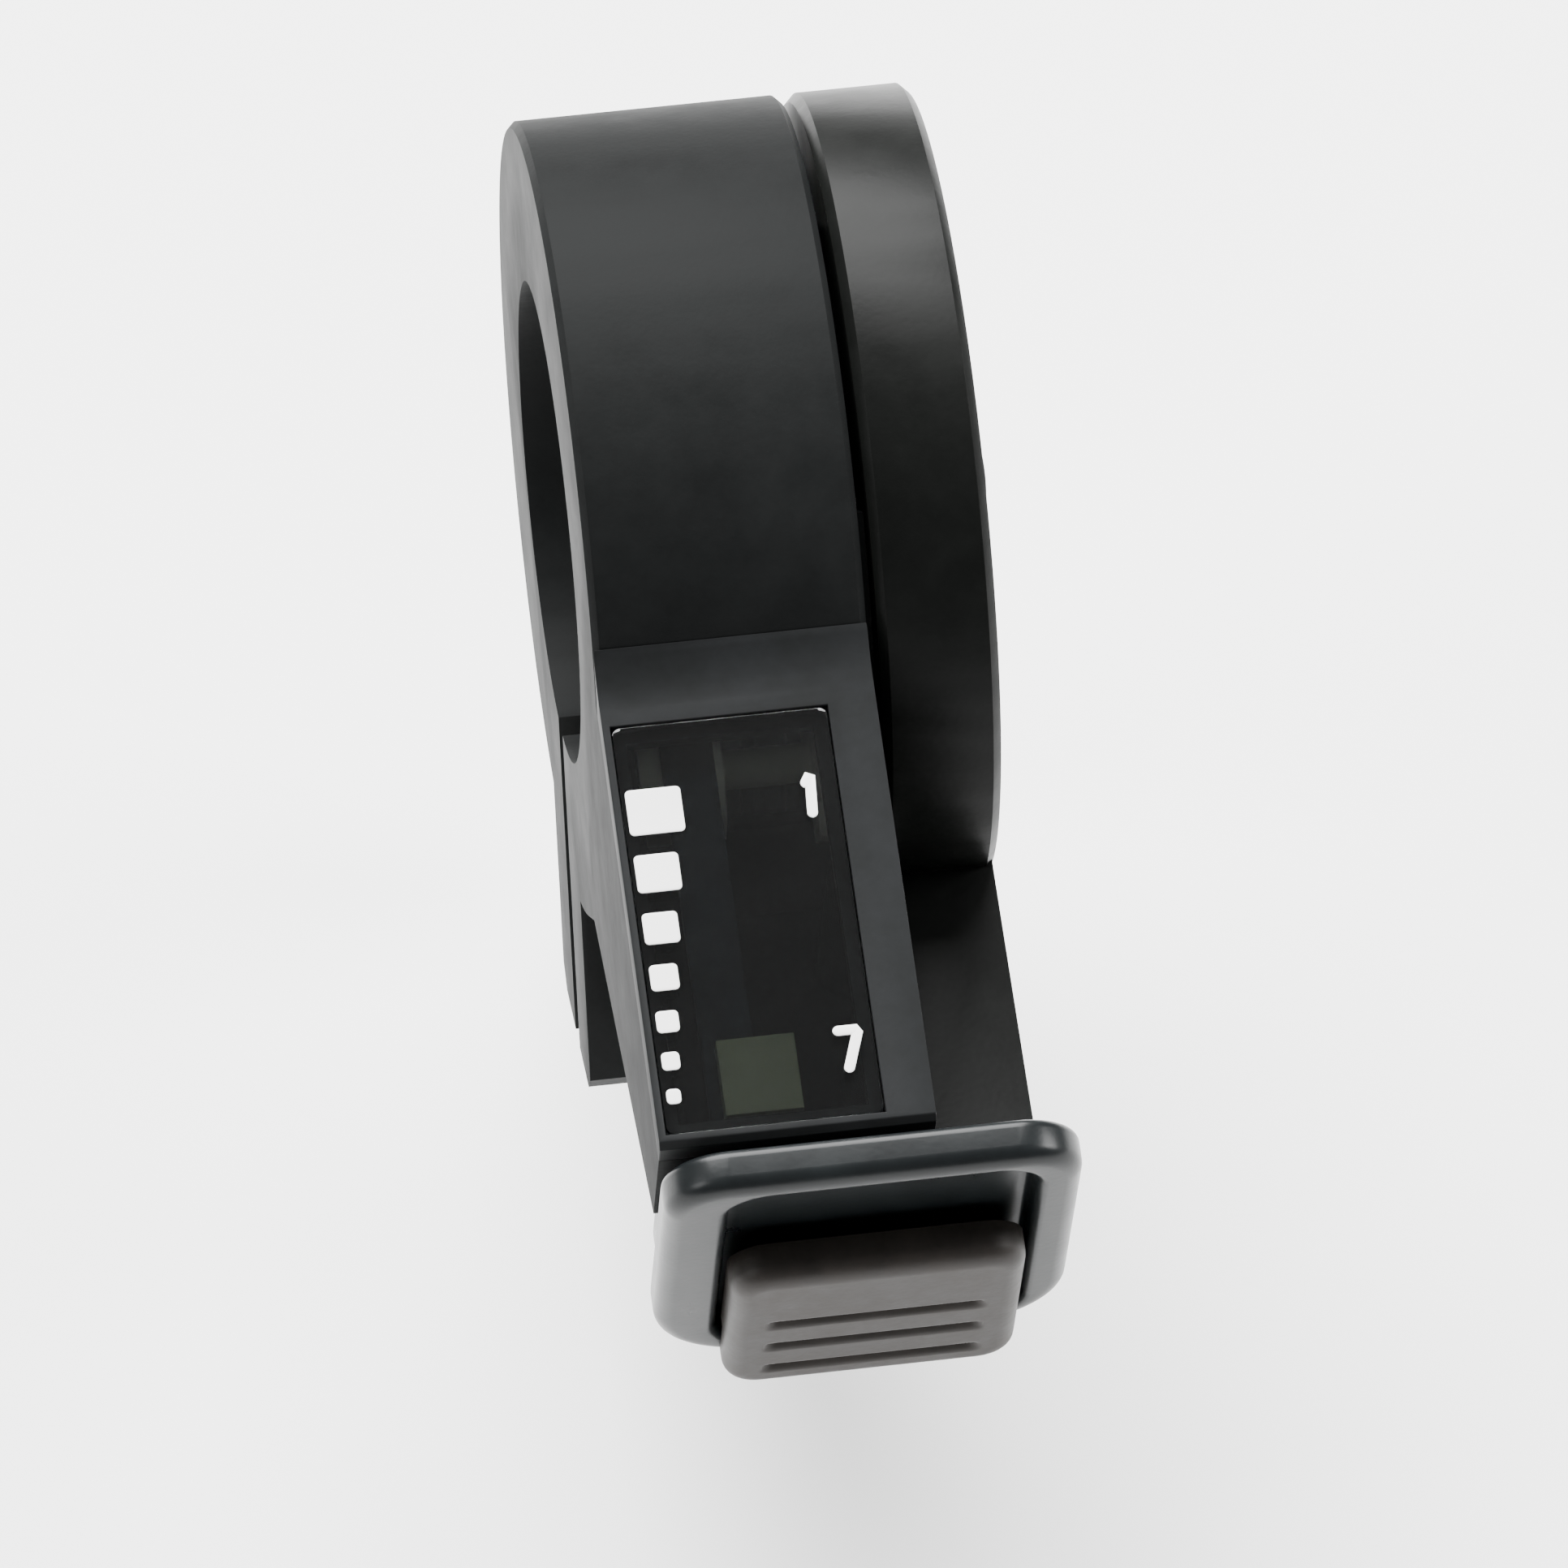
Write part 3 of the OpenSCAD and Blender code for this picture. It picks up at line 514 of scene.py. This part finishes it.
coil_low, coil_high = span("adjuster_spring", upright)
coil_radius = (coil_high[0] - coil_low[0]) / 2 - wire
along = np.linspace(0, 1, 145)
swing = 2 * coil_turns * np.pi * along
around = np.linspace(0, 2 * np.pi, 12, endpoint=False)
wire_reach = coil_radius + wire * np.cos(around)[None, :]
wire_height = (coil_low[2] + wire + (coil_high[2] - coil_low[2] - 2 * wire) * along)[:, None]
coil_loops = np.stack(
    [
        adjuster_axis[0] + wire_reach * np.cos(swing)[:, None],
        adjuster_axis[1] + wire_reach * np.sin(swing)[:, None],
        wire_height + wire * np.sin(around)[None, :],
    ],
    axis=-1,
)
settle(
    skin("adjuster_coil", coil_loops, upright),
    "housing", "spring_steel", spring_steel, "adjuster_spring",
)

# ---------------------------------------------------------------------------------------
# Lever: hub and arm in one moulding of black nylon beside the ring. It runs on an acetal
# bush, and a washer and a circlip hold it on the sleeve.
# ---------------------------------------------------------------------------------------
lever_ease = 0.35
# Fine-grained nylon: blacker and smoother than the housing, so the hub carries a clear highlight
lever_nylon = finish(
    "black_lever_nylon", "#0a0b0a", "#0f100f", (0.34, 0.4), 0.3, 0.25,
    patch_mm=3, IOR=1.5, Specular_IOR_Level=0.07,
)
settle(
    eased_copy("lever_hub_and_arm", "lever_arm", lever_ease),
    "lever", "lever_plastic", lever_nylon, "lever_arm",
)
coat("hub_bush", acetal)
coat("thrust_washer", plate_steel)
coat("circlip", dark_steel)

# ---------------------------------------------------------------------------------------
# Thumb paddle: a moulded frame across the end of the tongue with well-rounded rims,
# screwed to the foot of the arm.
# ---------------------------------------------------------------------------------------
plate = 2.1
top_round = 3.0
low_round = 5.0
outer_rim = 0.8
inner_rim = 0.5
back_rim = 0.5
top_bar = 1.4
recess_depth = 1.4
recess_corner = 2.0
floor_fillet = 0.3
pocket_depth = 2.4
pocket_half = 5.9
block_side = 0.5
block_lift = 0.3
block_height = 9.2
block_corner = 0.8
block_round = 0.4
stem_lift = 1.7
stem_height = 8.0
stem_corner = 1.0
stem_gap = 0.05
side_gap = 0.25
recess_drop = 0.3
end_inset = 0.7
paddle_low, paddle_high = span("thumb_paddle", tongue)
pad_low, pad_high = span("thumb_pad", tongue)
# A quarter round: one share of its radius falls from 1 to 0 as the other rises from 0 to 1
quarter = np.linspace(0, 0.5 * np.pi, 8)
falling = 1 - np.sin(quarter)
rising = 1 - np.cos(quarter)


def ring_at(low, high, radii, inset, along):
    """One loop of a moulding: the rounded rectangle between two corners (across, up), drawn in
    by inset with its radii, and standing at the place along the tongue."""
    half = (high - low) / 2 - inset
    outline = box_outline(half[0], half[1], np.maximum(np.array(radii) - inset, 0.05)) + (low + high) / 2
    return np.stack([outline[:, 0], np.full(len(outline), along), outline[:, 1]], axis=-1)


def rim_loops(low, high, radii, insets, places):
    """The loops of a rim: one for each inset and its place along the tongue."""
    return [ring_at(low, high, radii, inset, along) for inset, along in zip(insets, places)]


face = paddle_low[1]
plate_back = face + plate
plate_low, plate_high = paddle_low[[0, 2]], paddle_high[[0, 2]]
plate_radii = (top_round, top_round, low_round, low_round)
block_low = plate_low + np.array([block_side, block_lift])
block_high = np.array([plate_high[0] - block_side, block_low[1] + block_height])
block_radii = (block_corner, block_corner, low_round - block_side, low_round - block_side)
pad_middle = (pad_low[0] + pad_high[0]) / 2
stem_low = np.array([pad_middle - pocket_half, block_low[1] + stem_lift])
stem_high = np.array([pad_middle + pocket_half, stem_low[1] + stem_height])
recess_low = np.array([pad_low[0] - side_gap, stem_low[1] - recess_drop])
recess_high = np.array([pad_high[0] + side_gap, plate_high[1] - top_bar])
recess_floor = face + recess_depth
pocket_floor = face + pocket_depth
block_back = paddle_high[1]
paddle_loops = np.array([
    ring_at(block_low, block_high, block_radii, end_inset, block_back),
    *rim_loops(block_low, block_high, block_radii, block_round * falling, block_back - block_round * rising),
    ring_at(block_low, block_high, block_radii, 0, plate_back),
    *rim_loops(plate_low, plate_high, plate_radii, back_rim * falling, plate_back - back_rim * rising),
    *rim_loops(plate_low, plate_high, plate_radii, outer_rim * rising, face + outer_rim * falling),
    *rim_loops(recess_low, recess_high, recess_corner, -inner_rim * falling, face + inner_rim * rising),
    *rim_loops(
        recess_low, recess_high, recess_corner,
        floor_fillet * rising, recess_floor - floor_fillet * falling,
    ),
    ring_at(stem_low, stem_high, stem_corner, 0, recess_floor),
    ring_at(stem_low, stem_high, stem_corner, 0, pocket_floor),
    ring_at(stem_low, stem_high, stem_corner, end_inset, pocket_floor),
])
# Satin ABS: the rims carry soft bright lines, and the recess stays dark
paddle_abs = finish(
    "satin_black_abs", "#0f1112", "#151819", (0.27, 0.33), 0.3, 0.2,
    patch_mm=3, IOR=1.5, Specular_IOR_Level=0.2,
)
settle(skin("paddle_frame", paddle_loops), "lever", "paddle_plastic", paddle_abs, "thumb_paddle")
coat("paddle_screws", dark_steel)

# ---------------------------------------------------------------------------------------
# Thumb pad: soft grey rubber with three shallow grooves, pushed into the paddle by its stem.
# ---------------------------------------------------------------------------------------
pad_corner = 1.8
pad_rim = 0.9
pad_sunk = 0.5
groove_depth = 0.45
groove_half = 0.55
groove_reach = 5.1
groove_fade = 0.7
stem_end_inset = 0.4
stem_end_round = 0.3
groove_heights = np.array([-0.3, -3.0, -5.7])


def even(outline, count=320):
    """The same closed loop with count points at equal steps of its length."""
    closed = np.vstack([outline, outline[:1]])
    length = np.concatenate([[0], np.cumsum(np.linalg.norm(np.diff(closed, axis=0), axis=1))])
    steps = np.linspace(0, length[-1], count, endpoint=False)
    return np.stack([np.interp(steps, length, closed[:, i]) for i in range(3)], axis=-1)


pad_face = pad_low[1]
whole_low, whole_high = pad_low[[0, 2]], pad_high[[0, 2]]
sunk_low = np.array([pad_low[0], recess_low[1] + side_gap])
pad_stem_low, pad_stem_high = stem_low + stem_gap, stem_high - stem_gap
pad_wall = [
    ring_at(pad_stem_low, pad_stem_high, stem_corner, stem_end_inset, pad_high[1]),
    ring_at(pad_stem_low, pad_stem_high, stem_corner, 0, pad_high[1] - stem_end_round),
    ring_at(pad_stem_low, pad_stem_high, stem_corner, 0, face + pad_sunk),
    ring_at(sunk_low, whole_high, pad_corner, 0, face + pad_sunk),
    ring_at(sunk_low, whole_high, pad_corner, 0, face),
    ring_at(whole_low, whole_high, pad_corner, 0, face),
    *rim_loops(whole_low, whole_high, pad_corner, pad_rim * rising, pad_face + pad_rim * falling),
]
pad_wall = np.array([even(loop) for loop in pad_wall])
# The face: the rim's last loop shrinks to the middle, and each groove is a raised cosine across
# its height, faded out toward its ends
shrink = np.linspace(1, 0.01, 70)[1:, None, None]
face_middle = pad_wall[-1].mean(axis=0)
pad_front = face_middle + shrink * (pad_wall[-1] - face_middle)
off_groove = np.abs(pad_front[..., 2:] - groove_heights).min(axis=-1) / groove_half
fade = np.clip((groove_reach - np.abs(pad_front[..., 0] - pad_middle)) / groove_fade, 0, 1)
sunk = 0.5 * (1 + np.cos(np.pi * np.minimum(off_groove, 1)))
pad_front[..., 1] += groove_depth * sunk * fade * fade * (3 - 2 * fade)
# Rubber from an eroded mould: warm grey, dull, a little lighter where it faces the light
pad_rubber = finish(
    "warm_grey_rubber", "#1f1c1a", "#282421", (0.45, 0.55), 0.4, 0.4,
    patch_mm=2, IOR=1.5, Specular_IOR_Level=0.2,
)
pad_loops = np.concatenate([pad_wall, pad_front])
settle(skin("rubber_pad", pad_loops), "lever", "pad_rubber", pad_rubber, "thumb_pad")

# ---------------------------------------------------------------------------------------
# Studio: a pale floor under the shifter, a large soft light above and in front of it with two
# small ones at its sides, and a camera that looks down at the display from the rider's side.
# ---------------------------------------------------------------------------------------
camera_distance = 0.7
focal_mm = 350
floor_half = 3.0
world_strength = 0.36
# The bar, which isn't drawn, holds the shifter up: the floor clears the paddle's lowest place
floor_drop = 0.043
box_low, box_high = (np.array(corner) for corner in cad_box)
floor_mesh = bpy.data.meshes.new("floor")
floor_corner = np.array([[-1, -1], [1, -1], [1, 1], [-1, 1]]) * floor_half
floor_mesh.from_pydata([(*c, -floor_drop) for c in floor_corner], [], [(0, 1, 2, 3)])
# Matt card: nearly white and almost even
pale_card = finish("pale_card", "#f8f8f7", "#fdfdfd", (0.8, 0.9), 4.0, 0.0, patch_mm=400)
floor_mesh.materials.append(pale_card)
shown("floor", floor_mesh)

world = bpy.data.worlds.new("studio")
bpy.context.scene.world = world
world.use_nodes = True
sky = world.node_tree.nodes["Background"]
sky.inputs["Color"].default_value = linear("#f6f7f8")
sky.inputs["Strength"].default_value = world_strength


def softbox(name, place, size, power):
    """A square area light at a place in metres, turned to the shifter."""
    lamp = bpy.data.lights.new(name, "AREA")
    lamp.shape = "SQUARE"
    lamp.size = size
    lamp.energy = power
    obj = shown(name, lamp)
    back = np.array(place) / np.linalg.norm(place)
    side_way = np.cross((0.0, 1.0, 0.0), back)
    side_way /= np.linalg.norm(side_way)
    rows = np.array([side_way, np.cross(back, side_way), back]).T
    obj.matrix_world = Matrix([[*rows[i], place[i]] for i in range(3)] + [[0, 0, 0, 1]])
    return obj


softbox("overhead", (-0.1, 0.45, 0.75), 0.8, 50.0)
softbox("left_fill", (-0.7, -0.2, 0.5), 0.35, 3.0)
softbox("right_fill", (0.55, -0.05, 0.35), 0.25, 5.0)

# The camera's own directions: to the right of its picture, and back from what it looks at
camera_right = np.array([0.9905, -0.1377, -0.0034])
camera_back = np.array([-0.0907, -0.6705, 0.7363])
camera_right /= np.linalg.norm(camera_right)
camera_back -= camera_right * (camera_back @ camera_right)
camera_back /= np.linalg.norm(camera_back)
aim = (box_low + box_high) / 2
lens = bpy.data.cameras.new("camera")
lens.lens = focal_mm
lens.sensor_width = 36
lens.clip_start = 0.01
camera = shown("camera", lens)
stand = aim + camera_back * camera_distance
facing = np.array([camera_right, np.cross(camera_back, camera_right), camera_back]).T
camera.matrix_world = Matrix([[*facing[i], stand[i]] for i in range(3)] + [[0, 0, 0, 1]])
bpy.context.scene.camera = camera
